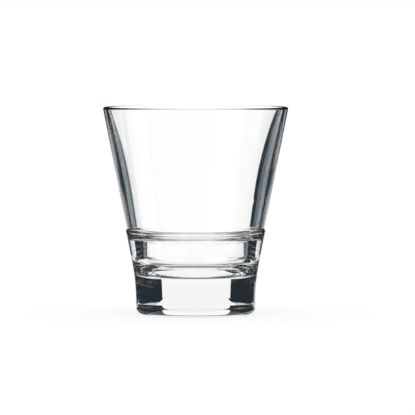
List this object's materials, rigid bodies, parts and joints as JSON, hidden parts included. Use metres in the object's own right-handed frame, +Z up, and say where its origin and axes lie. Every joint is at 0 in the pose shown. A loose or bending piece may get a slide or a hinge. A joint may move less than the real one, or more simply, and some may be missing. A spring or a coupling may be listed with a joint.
{
  "type": "rocks glass",
  "caption": "Clear stackable tumbler with a flared wall, a rounded lip, an inner stacking ledge and a heavy solid base, for holding a short drink.",
  "frame": {"origin": "middle of the standing surface, on the axis of the glass", "axes": "+Z up along the axis of the glass, out of its mouth; X and Y are alike, because the body is round"},
  "size_m": [0.085, 0.085, 0.095],
  "materials": {
    "clear_glass": "fire-polished clear glass"
  },
  "bodies": {
    "root": {"glass_body": "clear_glass"}
  },
  "joints": []
}
